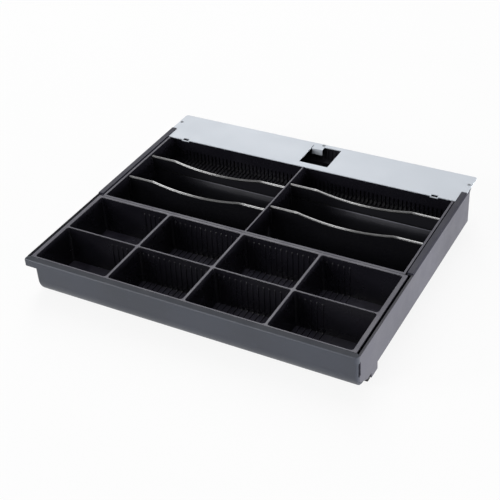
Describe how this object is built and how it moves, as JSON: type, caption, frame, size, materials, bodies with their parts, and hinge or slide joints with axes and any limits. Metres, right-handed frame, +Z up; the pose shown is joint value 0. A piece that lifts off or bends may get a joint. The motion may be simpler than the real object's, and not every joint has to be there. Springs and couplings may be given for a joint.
{
  "type": "cash drawer insert",
  "caption": "Sliding cash drawer tray with coin cups in front, note bays with lift-out dividers behind, and a steel cover plate with a latch window over the rear.",
  "frame": {"origin": "middle of the outline on the plane that the feet stand on", "axes": "+X to the right seen from the user's side, +Y to the rear cover, +Z up out of the cups"},
  "size_m": [0.4, 0.351, 0.054],
  "materials": {
    "drawer_plastic": "fine satin",
    "fascia_plastic": "fine satin",
    "coin_plastic": "satin with greyer rims",
    "note_plastic": "satin with greyer rims",
    "divider_plastic": "glossy",
    "strip_plastic": "fine grained",
    "housing_plastic": "satin",
    "cover_paint": "smooth satin paint",
    "cover_screw_paint": "smooth satin paint",
    "screw_steel": "zinc plated",
    "foot_rubber": "matt"
  },
  "bodies": {
    "drawer": {"drawer_tray": "drawer_plastic", "front_fascia": "fascia_plastic", "note_tray": "note_plastic", "glide_strip_left": "strip_plastic", "glide_strip_right": "strip_plastic", "rear_cover": "cover_paint", "rear_housing": "housing_plastic", "cover_screws": "cover_screw_paint", "fascia_screws": "screw_steel", "tray_screws": "screw_steel", "housing_screws": "screw_steel", "front_foot_left": "foot_rubber", "front_foot_right": "foot_rubber", "rear_foot_left": "foot_rubber", "rear_foot_right": "foot_rubber"},
    "coin_insert": {"coin_tray": "coin_plastic"},
    "divider_left_front": {"note_divider_left_front": "divider_plastic"},
    "divider_left_rear": {"note_divider_left_rear": "divider_plastic"},
    "divider_right_front": {"note_divider_right_front": "divider_plastic"},
    "divider_right_rear": {"note_divider_right_rear": "divider_plastic"}
  },
  "joints": [
    {"name": "coin_insert_lift", "type": "slide", "parent": "drawer", "child": "coin_insert", "axis": [0, 0, 1], "range_m": [0, 0.07]},
    {"name": "divider_left_front_lift", "type": "slide", "parent": "drawer", "child": "divider_left_front", "axis": [0, 0, 1], "range_m": [0, 0.055]},
    {"name": "divider_left_rear_lift", "type": "slide", "parent": "drawer", "child": "divider_left_rear", "axis": [0, 0, 1], "range_m": [0, 0.055]},
    {"name": "divider_right_front_lift", "type": "slide", "parent": "drawer", "child": "divider_right_front", "axis": [0, 0, 1], "range_m": [0, 0.055]},
    {"name": "divider_right_rear_lift", "type": "slide", "parent": "drawer", "child": "divider_right_rear", "axis": [0, 0, 1], "range_m": [0, 0.055]}
  ]
}
